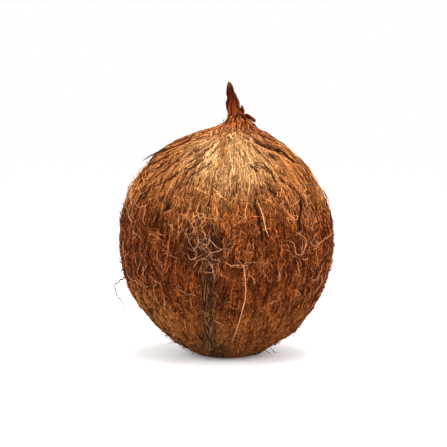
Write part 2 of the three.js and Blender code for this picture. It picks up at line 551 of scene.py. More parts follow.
ring_radius = np.array([full_ring(z, m) for z, m in zip(ring_z, ring_middle)])
left_side = near_angle(270, 50)
notch = smooth_step(ring_z, 127.5, 130) * (1 - smooth_step(ring_z, 131, 135.5))
ring_radius -= NOTCH_DEPTH * notch[:, None] * left_side
print(BODY_RINGS, "rings, from", round(ring_z[0], 1), "to", round(ring_z[-1], 1), "mm high")

# %% [markdown]
# Now the coat's relief. Each kind of relief is one line of sums over the whole grid of rings and
# angles: broad unevenness, bundles of fibre with gaps between them, and finer fibres. All of them
# come from one noise, which takes the number of bumps round the nut and along it: few bumps along
# and many round give long combed ridges.

# %% Noise along the fibres
path_share = ring_path / ring_path[-1]


def coat_noise(columns, rows, seed, lean=0.0):
    """Smooth noise from -1 to 1 over the grid, with so many bumps round and so many along."""
    knots = np.random.default_rng(seed).uniform(-1, 1, (rows + 2, columns))
    along = (path_share * rows)[:, None] + np.zeros(ROUND)
    about = (angles / (2 * math.pi) * columns)[None, :] + lean * along
    i, j = np.floor(about).astype(int), np.floor(along).astype(int)
    u, v = about - i, along - j
    u, v = u * u * (3 - 2 * u), v * v * (3 - 2 * v)
    i0, i1 = i % columns, (i + 1) % columns
    near = knots[j, i0] * (1 - u) + knots[j, i1] * u
    far = knots[j + 1, i0] * (1 - u) + knots[j + 1, i1] * u
    return near * (1 - v) + far * v


def degrees_from(azimuth):
    """How far round each angle of the grid is from another angle, from -180 to 180."""
    return (angle_grid - azimuth + 180) % 360 - 180


z_grid = ring_z[:, None] + np.zeros(ROUND)
on_crown = smooth_step(z_grid, 84, 106) * (1 - smooth_step(z_grid, 126, 131))
on_tuft = smooth_step(z_grid, 126, 132)
on_belly = (1 - smooth_step(z_grid, 92, 108)) * smooth_step(z_grid, 22, 40)
near_base = 1 - smooth_step(z_grid, 20, 44)
print("noise is drawn on", z_grid.size, "points")

# %% [markdown]
# The coat is cracked where bundles of fibre have parted, mostly on the crown. A crack is a line
# on the skin, from one angle and height to another, with a width and a depth. The ones that
# give this nut its face are listed, in degrees round from the front and millimetres of
# height, and a shallow groove runs down from the tuft. The rest are drawn by lot all round: short
# cracks that fan out over the crown, and upright furrows on the belly.

# %% Place the cracks
# Each front crack is a width and its line.
FRONT_CRACKS = [
    (1.5, [(32, 121), (41, 117.5), (52, 115), (62, 112.5), (68, 108)]),
    (1.1, [(38, 112.8), (49, 110.4)]),
    (0.9, [(18, 107.5), (24, 104.6)]),
    (0.8, [(23, 109), (30, 106), (34, 102), (36, 98)]),
    (1.4, [(39, 100), (44, 97), (48, 95), (50, 91.5), (49, 86), (45, 80), (44, 72)]),
    (0.8, [(42, 104.5), (45, 101.5)]),
    (1.1, [(16, 89), (18, 83), (19, 75), (20, 68)]),
    (0.7, [(27, 96), (33, 92)]),
    (1.2, [(-50, 120.5), (-58, 117), (-74, 113)]),
    (1.1, [(-54, 112.4), (-64, 109), (-76, 106)]),
    (0.9, [(-48, 110), (-56, 106), (-61, 103)]),
    (0.9, [(-38, 110.4), (-45, 106), (-53, 101)]),
    (0.8, [(-32, 104), (-38, 100.4), (-52, 94)]),
    (0.8, [(-18, 111), (-25, 106), (-30, 102.4)]),
    (0.7, [(-14, 118), (-21, 113), (-30, 108)]),
    (0.7, [(-10, 109.6), (-16, 106), (-23, 101.6)]),
]
GROOVE = [(-4, 121), (-2, 111)]
GROOVE_WIDTH = 1.3
GROOVE_STRENGTH = 0.4
CRACK_WIDTH = 0.75
RANDOM_CRACKS = 200
CRACK_TOPS = (84, 116, 124)
CRACK_LENGTHS = (4, 13)
CRACK_WIDTHS = (0.3, 0.55)
CRACK_STRENGTHS = (0.2, 0.5)
BELLY_FURROWS = 110
FURROW_TOPS = (44, 92)
FURROW_DROPS = (6, 22)
FURROW_WIDTHS = (0.5, 0.9)
FURROW_STRENGTHS = (0.35, 0.8)
FAN = np.array([4.0, -16.0])
FAN_BACK = np.array([7.0, 4.0])

crack_dice = np.random.default_rng(11)
cracks = [(path, width, 1.0) for width, path in FRONT_CRACKS]
cracks.append((GROOVE, GROOVE_WIDTH, GROOVE_STRENGTH))
crown_rows = ring_z > 70
crown_reach = ring_radius[crown_rows].mean(1)
for _ in range(RANDOM_CRACKS):
    turn = crack_dice.uniform(-math.pi, math.pi)
    top = crack_dice.triangular(*CRACK_TOPS)
    start = float(np.interp(top, ring_z, ring_radius.mean(1)))
    top_place = start * np.array([math.sin(turn), -math.cos(turn)])
    fan = FAN + (FAN_BACK - FAN) * float(smooth_step(top_place[1], -5, 20))
    away = (top_place - fan) / np.linalg.norm(top_place - fan)
    away += crack_dice.normal(0, 0.12, 2)
    walk = top_place + np.outer(np.linspace(0, crack_dice.uniform(*CRACK_LENGTHS), 4), away)
    level = np.interp(np.hypot(*walk.T), crown_reach[::-1], ring_z[crown_rows][::-1])
    path = list(zip(np.degrees(np.arctan2(walk[:, 0], -walk[:, 1])), level))
    cracks.append((path, crack_dice.uniform(*CRACK_WIDTHS), crack_dice.uniform(*CRACK_STRENGTHS)))

for _ in range(BELLY_FURROWS):
    turn = crack_dice.uniform(-180, 180)
    top = crack_dice.uniform(*FURROW_TOPS)
    drop = crack_dice.uniform(*FURROW_DROPS)
    wander = np.cumsum(crack_dice.normal(0, 1.2, 4))
    path = [(turn + wander[i], top - drop * i / 3) for i in range(4)]
    cracks.append((path, crack_dice.uniform(*FURROW_WIDTHS), crack_dice.uniform(*FURROW_STRENGTHS)))
print(len(cracks), "cracks and furrows are placed")

# %% [markdown]
# A crack is cut into one map for the whole skin, `gap`, which is 1 at the bottom of a crack and 0
# beside it. Each row of the grid finds the crack's angle at its height, a fine noise makes the
# edges waver, and the crack closes softly at both ends.

# %% Cut the cracks
gap = np.zeros_like(z_grid)
waver = 0.35 * coat_noise(60, 60, 5)
for path, width, strength in cracks:
    path = np.array(path, float)
    order = np.argsort(path[:, 1])
    low, high = path[:, 1].min(), path[:, 1].max()
    rows = np.where((ring_z > low - 1.5) & (ring_z < high + 1.5))[0]
    path[:, 0] = np.degrees(np.unwrap(np.radians(path[:, 0])))
    line = np.interp(ring_z[rows], path[order, 1], path[order, 0])
    across = np.radians(degrees_from(line[:, None])) * ring_radius[rows]
    ends = smooth_step(ring_z[rows], low - 1.2, low + 1.2)
    ends *= 1 - smooth_step(ring_z[rows], high - 0.8, high + 0.8)
    cut = np.exp(-((across + waver[rows]) / (CRACK_WIDTH * width)) ** 2) * ends[:, None]
    gap[rows] = np.maximum(gap[rows], strength * cut)
print("the cracks cover", round(100 * float((gap > 0.4).mean()), 1), "% of the grid")

# %% [markdown]
# A coconut has three seams, a third of a turn apart, where the parts of its shell meet. The front
# one shows best below the belly: a blunt line of grey, flattened fibre. It also leans a little,
# so its angle changes with the height.

# %% Place the seams
SEAM_TURN = 120
SEAM_FADE = [(58, 72), (60, 86), (60, 86)]
SIDE_SEAM = 0.7

seam_angle = np.interp(ring_z, [0, 16, 32, 48, 66], [-16, -13, -11.5, -9.5, -8])
seam_half = np.interp(ring_z, [0, 20, 45, 66], [7.5, 6.0, 4.2, 3.2])
seam = np.zeros_like(z_grid)
for turn, (full, gone) in enumerate(SEAM_FADE):
    away = degrees_from(seam_angle[:, None] + turn * SEAM_TURN)
    across = np.abs(np.radians(away) * ring_radius + 1.2 * coat_noise(40, 16, 60 + turn))
    band = 1 - smooth_step(across / seam_half[:, None], 0.2, 1.35)
    band *= (1 - smooth_step(z_grid, full, gone)) * (1 if turn == 0 else SIDE_SEAM)
    seam = np.maximum(seam, band * (0.65 + 0.5 * coat_noise(110, 12, 70)))
seam = np.clip(seam, 0, 1)
print("seams cover", round(100 * float((seam > 0.4).mean()), 1), "% of the grid")

# %% [markdown]
# The relief is the sum of all this, in millimetres. Broad swells come first, then the ridges of
# combed bundles, finer fibres, and the cracks cut into them. The tuft has sheaths of fibre that
# wind round it, with painted shade, through `gap`, along the line where two of them meet. The
# whole skin is then sunk by the room that the strands need to lie on it.

# %% Raise the relief
STRAND_ROOM = 1.0
SHEATHS = 3.5
SHEATH_TWIST = 0.11

relief = 0.55 * coat_noise(9, 7, 1) + 0.35 * coat_noise(24, 14, 2)
ridges = 1 - np.abs(coat_noise(84, 7, 3, lean=0.15))
relief += (0.4 * on_crown + 0.3 * on_belly) * (ridges**2 - 0.55)
relief += (0.35 * on_crown + 0.22 * on_belly) * coat_noise(150, 14, 4)
relief += (0.12 + 0.16 * on_belly) * coat_noise(300, 110, 6) * (1 - 0.6 * near_base)
relief -= (1.0 + 0.7 * on_crown) * gap
relief += 0.35 * seam * coat_noise(170, 10, 8)
relief *= 1 - on_tuft
sheaths = np.abs(np.sin(SHEATHS * (angles[None, :] - SHEATH_TWIST * (z_grid - 126))))
# painted shade: the lines where the tuft's sheaths meet go into gap, which darkens them
gap = np.maximum(gap, 0.9 * on_tuft * (1 - sheaths) ** 3)
rough_tuft = 0.3 * coat_noise(70, 60, 9) + 0.2 * coat_noise(30, 14, 10)
relief += on_tuft * (0.7 * sheaths - 0.45 + rough_tuft)
torn_side = near_angle(80, 45) * smooth_step(z_grid, 124, 129)
relief -= 1.3 * torn_side * (1 - smooth_step(z_grid, 136, 142))
relief += 0.9 * left_side * smooth_step(z_grid, 106, 113) * (1 - smooth_step(z_grid, 125, 128))
relief -= STRAND_ROOM * (1 - 0.6 * on_tuft)
relief *= smooth_step(z_grid, 0, 5)
relief *= np.minimum(1, ring_radius / 3)
print("relief from", round(relief.min(), 2), "to", round(relief.max(), 2), "mm")

# %% [markdown]
# The grid becomes a mesh: the relief moves each point along the surface's own direction, the foot
# is filled with smaller and smaller flat rings, and one point closes each end.

# %% Build the skin


def ring_points(radius, z):
    """The points of all rings, in millimetres."""
    flat = ring_middle[:, None, :] + outward[None] * radius[:, :, None]
    return np.concatenate([flat, z[:, :, None]], 2)


plain = ring_points(ring_radius, z_grid)
up = np.gradient(plain, axis=0)
about = np.roll(plain, -1, 1) - np.roll(plain, 1, 1)
facing = np.cross(about, up)
facing /= np.linalg.norm(facing, axis=2, keepdims=True)
coat = plain + facing * relief[:, :, None]
coat[:, :, 2] = np.maximum(coat[:, :, 2], 0)

foot_share = np.linspace(0, 1, FOOT_RINGS + 1)[1:-1]
foot_centre = np.array([*ring_middle[0], 0])
foot = foot_centre + (coat[0] - foot_centre)[None] * foot_share[:, None, None]
foot[:, :, 2] = 0
rings = np.concatenate([foot, coat])
tip = np.array([*ring_middle[-1], HEIGHT])
points = np.concatenate([foot_centre[None], rings.reshape(-1, 3), tip[None]]) * MM
count = len(rings)
last = count * ROUND + 1


def ring_index(ring, column):
    """The number of a ring's point in the mesh."""
    return 1 + ring * ROUND + column % ROUND


faces = [(0, ring_index(0, j + 1), ring_index(0, j)) for j in range(ROUND)]
for i in range(count - 1):
    for j in range(ROUND):
        above = ring_index(i + 1, j + 1), ring_index(i + 1, j)
        faces.append((ring_index(i, j), ring_index(i, j + 1), *above))
faces += [(last, ring_index(count - 1, j), ring_index(count - 1, j + 1)) for j in range(ROUND)]

skin_mesh = bpy.data.meshes.new("coir_skin")
skin_mesh.from_pydata(points.tolist(), [], faces)
skin_mesh.shade_smooth()
skin_mesh.materials.append(skin_finish)
skin = bpy.data.objects.new("coir_skin", skin_mesh)
bpy.context.collection.objects.link(skin)
print("the skin has", len(faces), "faces")

# %% [markdown]
# The mesh carries what later steps ask for by name: `gap` and `seam`, and one map of where each
# kind of strand grows. The maps have ragged edges, so that one kind runs into the next, and
# strands keep out of the cracks and off the floor. Curls gather in a few tangled nests.

# %% Let the skin carry its maps
# Each nest is an angle, a height, a reach and a weight.
CURL_NESTS = [
    (-15, 78, 8, 3.0),
    (-13, 67, 9, 3.6),
    (-8, 56, 9, 2.5),
    (55, 66, 12, 2.4),
    (-55, 84, 10, 2.0),
    (-30, 60, 12, 1.5),
]

patchy = 0.5 + 0.5 * coat_noise(26, 14, 21)
ragged_z = z_grid + 7 * coat_noise(16, 9, 33) + 4 * coat_noise(60, 20, 34)
lying = 1 - 0.92 * np.clip(gap * 1.6, 0, 1)
off_floor = smooth_step(z_grid, 1, 6)
under_crown = 1 - smooth_step(ragged_z, 84, 108)
flanks = 0.35 + 0.65 * smooth_step(np.abs(degrees_from(0) - 5), 22, 60)
curls = 1.1 * under_crown * smooth_step(z_grid, 20, 50) * smooth_step(patchy, 0.3, 0.8)
for azimuth, height, reach, weight in CURL_NESTS:
    round_to = np.radians(degrees_from(azimuth)) * ring_radius
    near = np.hypot(round_to, z_grid - height) / reach
    curls = np.maximum(curls, weight * np.exp(-(near**2)))

maps = {
    "gap": gap,
    "seam": seam,
    "crown_map": smooth_step(ragged_z, 72, 98) * (1 - smooth_step(z_grid, 128, 131)) * lying,
    "dark_map": flanks * smooth_step(ragged_z, 84, 100) * (1 - smooth_step(z_grid, 122, 130)),
    "belly_map": under_crown * (0.5 + 0.5 * patchy) * lying * (1 - 0.85 * near_base) * off_floor,
    "base_map": (1 - smooth_step(z_grid, 30, 60)) * lying * off_floor,
    "long_map": under_crown * lying * off_floor * (1 - 0.7 * near_base),
    "seam_map": seam * off_floor,
    "curl_map": curls,
    "tuft_map": smooth_step(z_grid, 120, 127) * (1 - smooth_step(z_grid, 128, 139)),
}
for name, grid in maps.items():
    under = np.repeat(grid[:1], FOOT_RINGS - 1, 0).ravel()
    values = np.concatenate([[grid[0].mean()], under, grid.ravel(), [grid[-1].mean()]])
    skin_mesh.attributes.new(name, "FLOAT", "POINT").data.foreach_set("value", values)
print("the skin carries", ", ".join(maps))

# %% [markdown]
# Two more maps say where a point is on the coat. `comb` is a place that follows the fibres, for
# the skin's grain, squeezed along them so that the grain is long. The other is a flat map of the
# unrolled skin, for baking the finish into.

# %% Comb and unroll the skin
COMB_SQUEEZE = 0.55


def read(items, key, kind=int):
    """Reads one value of every item in a mesh."""
    values = np.empty(len(items), kind)
    items.foreach_get(key, values)
    return values


path_up = np.concatenate([np.linspace(-12, -1, FOOT_RINGS - 1), ring_path]) * MM
comb = np.zeros((len(points), 3))
comb[1:-1, 0] = np.tile(np.sin(angles), count) * BELLY * MM
comb[1:-1, 1] = np.tile(-np.cos(angles), count) * BELLY * MM
comb[1:-1, 2] = np.repeat(path_up, ROUND) * COMB_SQUEEZE
skin_mesh.attributes.new("comb", "FLOAT_VECTOR", "POINT").data.foreach_set("vector", comb.ravel())

corner_point = read(skin_mesh.loops, "vertex_index")
face_start = read(skin_mesh.polygons, "loop_start")
face_size = read(skin_mesh.polygons, "loop_total")
column = np.where(corner_point == 0, -1, (corner_point - 1) % ROUND)
column[corner_point == last] = -1
row = np.where(corner_point == 0, 0, (corner_point - 1) // ROUND + 1)
own_column = np.repeat(np.maximum.reduceat(column, face_start), face_size)
wrapped = (own_column == ROUND - 1) & (column == 0)
column = np.where(column < 0, own_column - 0.5, np.where(wrapped, ROUND, column))
unrolled = np.stack([column / ROUND, row / (count + 1)], 1)
skin_mesh.uv_layers.new(name="OFBake").data.foreach_set("uv", unrolled.ravel())
print("the skin is unrolled from", len(corner_point), "corners")

# %% [markdown]
# ## Strands by Geometry Nodes
# Thousands of strands lie on the skin, so they are grown by one Geometry Nodes tree that is used
# again for each kind. It scatters root points where a map says that the kind grows, gives each
# point a direction towards the tuft with a random stray, copies it into a row of points along
# that direction, and bends the row with noise. Then it presses each point down to the nearest
# place on the skin, with a small lift, and joins each row to a curve with a thin tube round it.

# %% The strand tree
FAN_HEIGHT = 128

strand_inputs = [
    ("Geometry", "NodeSocketGeometry", None),
    ("Map", "NodeSocketString", ""),
    ("Density", "NodeSocketFloat", 50000.0),
    ("Steps", "NodeSocketInt", 8),
    ("Length Low", "NodeSocketFloat", 0.008),
    ("Length High", "NodeSocketFloat", 0.014),
    ("Radius", "NodeSocketFloat", 0.0002),
    ("Stray", "NodeSocketFloat", 0.4),
    ("Curl", "NodeSocketFloat", 0.001),
    ("Curl Scale", "NodeSocketFloat", 120.0),
    ("Lift", "NodeSocketFloat", 0.0004),
    ("Tip Lift", "NodeSocketFloat", 0.001),
    ("Tone Low", "NodeSocketFloat", 0.0),
    ("Tone High", "NodeSocketFloat", 1.0),
    ("Heading", "NodeSocketVector", (*(FAN * MM), FAN_HEIGHT * MM)),
    ("Heading Back", "NodeSocketVector", (*(FAN_BACK * MM), FAN_HEIGHT * MM)),
    ("Seed", "NodeSocketInt", 1),
    ("Material", "NodeSocketMaterial", None),
]
strand_tree, grow, grown = group_of(
    "GeometryNodeTree", "coir_strands", strand_inputs, [("Geometry", "NodeSocketGeometry", None)]
)
wire = grow.outputs


def named(kind, name):
    """Reads a named attribute in the strand tree."""
    made = put(strand_tree, "GeometryNodeInputNamedAttribute", {"Name": name}, data_type=kind)
    return made.outputs["Attribute"]


def stored(geometry, kind, name, value):
    """Stores a named attribute in the strand tree."""
    sockets = {"Geometry": geometry, "Name": name, "Value": value}
    made = put(strand_tree, "GeometryNodeStoreNamedAttribute", sockets, data_type=kind)
    return made.outputs["Geometry"]


def by_lot(low, high, salt):
    """A random number for each point, from the tree's seed and a salt."""
    sockets = {2: low, 3: high, "Seed": calc(strand_tree, "ADD", wire["Seed"], salt)}
    return put(strand_tree, "FunctionNodeRandomValue", sockets, data_type="FLOAT").outputs[1]


print("the strand tree has", len(strand_inputs), "inputs")

# %% [markdown]
# Each root heads for the fan's middle, a point inside the tuft, which lies further back for the
# strands on the nut's back. The heading is laid flat on the skin with two cross products, and
# turned by lot to either side. What a strand has to remember is stored on its root.

# %% Scatter and comb the roots
zone_density = calc(strand_tree, "MULTIPLY", wire["Density"], named("FLOAT", wire["Map"]))
sown = {"Mesh": wire["Geometry"], "Density": zone_density, "Seed": wire["Seed"]}
scatter = put(strand_tree, "GeometryNodeDistributePointsOnFaces", sown, distribute_method="RANDOM")
normal = scatter.outputs["Normal"]
root_place = put(strand_tree, "GeometryNodeInputPosition").outputs[0]
root_y = put(strand_tree, "ShaderNodeSeparateXYZ", {0: root_place}).outputs[1]
at_back = remap(strand_tree, root_y, -5 * MM, 20 * MM)
headings = {0: at_back, 4: wire["Heading"], 5: wire["Heading Back"]}
heading = put(strand_tree, "ShaderNodeMix", headings, data_type="VECTOR").outputs[1]
towards = vec(strand_tree, "SUBTRACT", heading, root_place)
sideways = vec(strand_tree, "NORMALIZE", vec(strand_tree, "CROSS_PRODUCT", normal, towards))
ahead = vec(strand_tree, "CROSS_PRODUCT", sideways, normal)
turn = calc(strand_tree, "ADD", by_lot(-1.0, 1.0, 11), by_lot(-1.0, 1.0, 12))
turned = {"Vector": ahead, "Axis": normal, "Angle": times(strand_tree, turn, wire["Stray"])}
turned = put(strand_tree, "ShaderNodeVectorRotate", turned, rotation_type="AXIS_ANGLE").outputs[0]
rooted = stored(scatter.outputs["Points"], "FLOAT_VECTOR", "root", root_place)
rooted = stored(rooted, "FLOAT_VECTOR", "ahead", turned)
rooted = stored(rooted, "FLOAT_VECTOR", "beside", vec(strand_tree, "CROSS_PRODUCT", normal, turned))
rooted = stored(rooted, "FLOAT", "own", by_lot(0.0, 1.0, 13))
rooted = stored(rooted, "FLOAT", "tone", by_lot(wire["Tone Low"], wire["Tone High"], 14))
rooted = stored(rooted, "FLOAT", "long", by_lot(wire["Length Low"], wire["Length High"], 15))
rooted = stored(rooted, "INT", "strand", put(strand_tree, "GeometryNodeInputIndex").outputs[0])
print("the tree so far has", len(strand_tree.nodes), "nodes")

# %% [markdown]
# Every root is copied into a row of points, which noise bends forwards and sideways. A point then
# drops to its nearest place on the skin and rises by a small height: an arch over the strand's
# middle, and at its tip a lift that only a few strands have. No point goes below the floor.

# %% Bend the rows and press them on the skin
FLOOR_ROOM = 0.5

copied = {"Geometry": rooted, "Amount": wire["Steps"]}
copies = put(strand_tree, "GeometryNodeDuplicateElements", copied, domain="POINT")
steps_less_one = calc(strand_tree, "SUBTRACT", wire["Steps"], 1.0)
share_along = calc(strand_tree, "DIVIDE", copies.outputs["Duplicate Index"], steps_less_one)
row_points = stored(copies.outputs["Geometry"], "FLOAT", "along", share_along)
along = named("FLOAT", "along")
own = named("FLOAT", "own")
centred = calc(strand_tree, "SUBTRACT", along, 0.5)
distance = times(strand_tree, centred, named("FLOAT", "long"))
noise_x = times(strand_tree, distance, wire["Curl Scale"])
noise_place = {0: noise_x, 1: times(strand_tree, own, 731.0), 2: wire["Seed"]}
noise_place = put(strand_tree, "ShaderNodeCombineXYZ", noise_place).outputs[0]
noise = put(strand_tree, "ShaderNodeTexNoise", {"Vector": noise_place, "Scale": 1.0, "Detail": 0.5})
bend = vec(strand_tree, "SUBTRACT", noise.outputs["Color"], (0.5, 0.5, 0.5))
bend = vec(strand_tree, "SCALE", bend, Scale=wire["Curl"])
bend_x, bend_y, bend_z = put(strand_tree, "ShaderNodeSeparateXYZ", {0: bend}).outputs
forward = calc(strand_tree, "ADD", distance, bend_y)
spine = vec(strand_tree, "SCALE", named("FLOAT_VECTOR", "ahead"), Scale=forward)
swing = vec(strand_tree, "SCALE", named("FLOAT_VECTOR", "beside"), Scale=bend_x)
free = vec(strand_tree, "ADD", named("FLOAT_VECTOR", "root"), vec(strand_tree, "ADD", spine, swing))


def on_skin(kind, value):
    """What the skin has at its place nearest to the free point."""
    sockets = {"Mesh": wire["Geometry"], "Sample Position": free, "Value": value}
    made = put(strand_tree, "GeometryNodeSampleNearestSurface", sockets, data_type=kind)
    return made.outputs["Value"]


touched = on_skin("FLOAT_VECTOR", root_place)
skin_normal = on_skin("FLOAT_VECTOR", put(strand_tree, "GeometryNodeInputNormal").outputs[0])
crossed_gap = on_skin("FLOAT", named("FLOAT", "gap"))
crossed_seam = on_skin("FLOAT", named("FLOAT", "seam"))
off_middle = calc(strand_tree, "ABSOLUTE", times(strand_tree, centred, 2.0))
arch = calc(strand_tree, "SUBTRACT", 1.0, calc(strand_tree, "POWER", off_middle, 2.0))
lot = calc(strand_tree, "FRACT", times(strand_tree, own, 37.7))
laid = times(strand_tree, arch, wire["Lift"], calc(strand_tree, "ADD", lot, 0.35))
tip = calc(strand_tree, "POWER", along, 2.5)
rise = times(strand_tree, tip, wire["Tip Lift"], calc(strand_tree, "POWER", lot, 3.0))
bob = times(strand_tree, bend_z, arch, 0.35)
lift = calc(strand_tree, "ADD", calc(strand_tree, "ADD", laid, rise), bob)
resting = vec(strand_tree, "ADD", touched, vec(strand_tree, "SCALE", skin_normal, Scale=lift))
rest_x, rest_y, rest_z = put(strand_tree, "ShaderNodeSeparateXYZ", {0: resting}).outputs
above_floor = calc(strand_tree, "MAXIMUM", rest_z, FLOOR_ROOM * MM)
final_place = {0: rest_x, 1: rest_y, 2: above_floor}
final_place = put(strand_tree, "ShaderNodeCombineXYZ", final_place).outputs[0]
marked = stored(row_points, "FLOAT", "seam", crossed_seam)
marked = stored(marked, "FLOAT", "gap", crossed_gap)
placed = {"Geometry": marked, "Position": final_place}
placed = put(strand_tree, "GeometryNodeSetPosition", placed).outputs["Geometry"]
print("the tree so far has", len(strand_tree.nodes), "nodes")

# %% [markdown]
# A strand is thin at its root, thinner at its tip, and thinnest where it crosses a furrow. Its
# width goes to the tube through the Scale of Curve to Mesh. A tube with three sides is enough,
# because a strand is only a fraction of a millimetre thick.

# %% Join the rows into tubes
TUBE_SIDES = 3

taper_in = remap(strand_tree, along, 0.0, 0.18, 0.15, 1.0)
taper_out = remap(strand_tree, along, 0.62, 1.0, 1.0, 0.22)
own_width = calc(strand_tree, "ADD", times(strand_tree, lot, 0.7), 0.65)
thinned = remap(strand_tree, crossed_gap, 0.15, 0.7, 1.0, 0.25)
thickness = times(strand_tree, taper_in, taper_out, own_width, thinned, wire["Radius"])
sized = stored(placed, "FLOAT", "thick", thickness)
joined = {"Points": sized, "Curve Group ID": named("INT", "strand"), "Weight": along}
curves = put(strand_tree, "GeometryNodePointsToCurves", joined).outputs[0]
circle = {"Resolution": TUBE_SIDES, "Radius": 1.0}
circle = put(strand_tree, "GeometryNodeCurvePrimitiveCircle", circle).outputs["Curve"]
profile = stored(circle, "INT", "side", put(strand_tree, "GeometryNodeInputIndex").outputs[0])
swept = {"Curve": curves, "Profile Curve": profile, "Scale": named("FLOAT", "thick")}
tubes = put(strand_tree, "GeometryNodeCurveToMesh", swept | {"Fill Caps": True}).outputs["Mesh"]
whole = put(strand_tree, "GeometryNodeRealizeInstances", {"Geometry": tubes}).outputs["Geometry"]
dressed = put(strand_tree, "GeometryNodeSetMaterial", {"Geometry": whole, "Material": wire["Material"]})
strand_tree.links.new(dressed.outputs["Geometry"], grown.inputs["Geometry"])
print("the whole tree has", len(strand_tree.nodes), "nodes")

# %% [markdown]
# Each use of the tree is a modifier on a spare copy of the skin. Its inputs are set before it is
# looked at, the result is copied out as a plain mesh, and the copy goes. Strands are too thin for
# an automatic unwrap, so each one gets its own small cell in a square map for baking.

# %% Grow one kind of strand
KEPT = ("tone", "seam", "gap")
CAP_MARGIN = 0.02


def cell_map(mesh):
    """Gives each strand its own cell of a square map: round it one way, along it the other."""
    corner = read(mesh.loops, "vertex_index")
    start = read(mesh.polygons, "loop_start")
    size = read(mesh.polygons, "loop_total")
    strand = read(mesh.attributes["strand"].data, "value")[corner]
    side = read(mesh.attributes["side"].data, "value")[corner].astype(float)
    along = read(mesh.attributes["along"].data, "value", float)[corner]
    widest = np.repeat(np.maximum.reduceat(side, start), size)
    narrowest = np.repeat(np.minimum.reduceat(side, start), size)
    sides = side.max() + 1
    is_cap = np.repeat(size, size) == sides
    crosses = (widest == sides - 1) & (narrowest == 0) & ~is_cap & (side == 0)
    side[crosses] = sides
    length = along * (1 - 4 * CAP_MARGIN) + 2 * CAP_MARGIN
    nudge = np.where(along > 0.5, CAP_MARGIN, -CAP_MARGIN)
    length += np.where(is_cap & (side == 1), 1.6 * nudge, np.where(is_cap, 0.4 * nudge, 0))
    strands, cell = np.unique(strand, return_inverse=True)
    across = math.ceil(math.sqrt(len(strands)))
    u = (cell % across + 0.04 + 0.92 * side / sides) / across
    v = (cell // across + length) / across
    layer = mesh.uv_layers.new(name="OFBake")
    layer.data.foreach_set("uv", np.stack([u, v], 1).ravel())
    return len(strands)


def plain_piece(mesh, name):
    """Puts a finished mesh in the scene as a piece, with only the maps that its finish reads."""
    for spare in [a.name for a in mesh.attributes if not a.is_internal]:
        if spare not in KEPT + ("position", "OFBake", "sharp_face", "material_index"):
            mesh.attributes.remove(mesh.attributes[spare])
    mesh.name = name
    mesh.shade_smooth()
    piece = bpy.data.objects.new(name, mesh)
    bpy.context.collection.objects.link(piece)
    return piece


def grow_strands(name, settings):
    """Runs the strand tree on a spare copy of the skin and keeps the result as a plain piece."""
    spare = bpy.data.objects.new(name + "_spare", skin_mesh.copy())
    bpy.context.collection.objects.link(spare)
    modifier = spare.modifiers.new("strands", "NODES")
    modifier.node_group = strand_tree
    sockets = {s.name: s for s in strand_tree.interface.items_tree if s.in_out == "INPUT"}
    for key, value in (settings | {"Material": strand_finish}).items():
        modifier[sockets[key].identifier] = value
    evaluated = spare.evaluated_get(bpy.context.evaluated_depsgraph_get())
    mesh = bpy.data.meshes.new_from_object(evaluated)
    spare_mesh = spare.data
    bpy.data.objects.remove(spare)
    bpy.data.meshes.remove(spare_mesh)
    number = cell_map(mesh)
    mesh.calc_loop_triangles()
    print(name, "has", number, "strands and", len(mesh.loop_triangles), "triangles")
    return plain_piece(mesh, name)


# %% [markdown]
# The kinds of strand, from the deepest layer up. Long straight strands run up the whole coat. On
# the crown short ones lie pressed flat, longer ones are combed over them, and dark ones streak its
# flanks. The belly's felt is wiry and tangled, in three layers that stray more and stand higher
# one after another, and the base has a short fuzz. Then come the seam's flat strands, the pale
# curls on top of all, the tuft's own strands, which head for a point above its tip, and a few
# stray hairs.

# %% Grow all the strands
# Each kind: the map that it grows by, thousands of roots to a square metre, points to a strand,
# its length, its radius, how far it strays, its curl and the curl's scale, its lift at the middle
# and at the tip, its tones, and its seed. Lengths, radius, curl and lift are in millimetres.
STRANDS = {
    "long_strands": ("long_map", 75, 9, (10, 24), 0.21, 0.1, (2.5, 90), (0.4, 0.8), (0, 0.72), 1),
    "crown_pressed": ("crown_map", 620, 4, (1.8, 4.5), 0.14, 0.3, (0.8, 250), (0.18, 0.3), (0.25, 0.78), 2),
    "crown_combed": ("crown_map", 210, 7, (6, 15), 0.13, 0.08, (1.2, 110), (0.3, 0.5), (0.3, 0.8), 7),
    "crown_dark": ("dark_map", 95, 9, (6, 18), 0.15, 0.09, (1.4, 120), (0.35, 0.3), (0, 0.14), 13),
    "felt_low": ("belly_map", 430, 4, (1.8, 5.2), 0.19, 0.4, (1.6, 230), (0.4, 0.6), (0, 0.8), 3),
    "felt_middle": ("belly_map", 430, 4, (1.8, 5.2), 0.17, 0.8, (2.2, 260), (0.7, 1), (0, 0.85), 4),
    "felt_top": ("belly_map", 165, 7, (4, 11), 0.13, 1, (6, 220), (1.1, 1.6), (0, 1), 8),
    "base_fuzz": ("base_map", 500, 4, (1.6, 4), 0.14, 0.6, (1.5, 260), (0.15, 0.3), (0.15, 0.8), 9),
    "seam_strands": ("seam_map", 300, 9, (10, 24), 0.19, 0.1, (3, 110), (0.5, 0.8), (0, 0.85), 5),
    "pale_curls": ("curl_map", 18, 16, (5, 14), 0.13, 0.9, (12, 150), (2, 3), (0.93, 1), 6),
    "tuft_strands": ("tuft_map", 800, 8, (3, 9), 0.18, 0.2, (2, 190), (0.4, 0.8), (0, 0.95), 10),
    "stray_hairs": ("long_map", 14, 9, (4, 9), 0.14, 1.2, (4, 150), (0.5, 6), (0, 0.4), 12),
}
TUFT_AIM = (2 * MM, 0.0, 190 * MM)


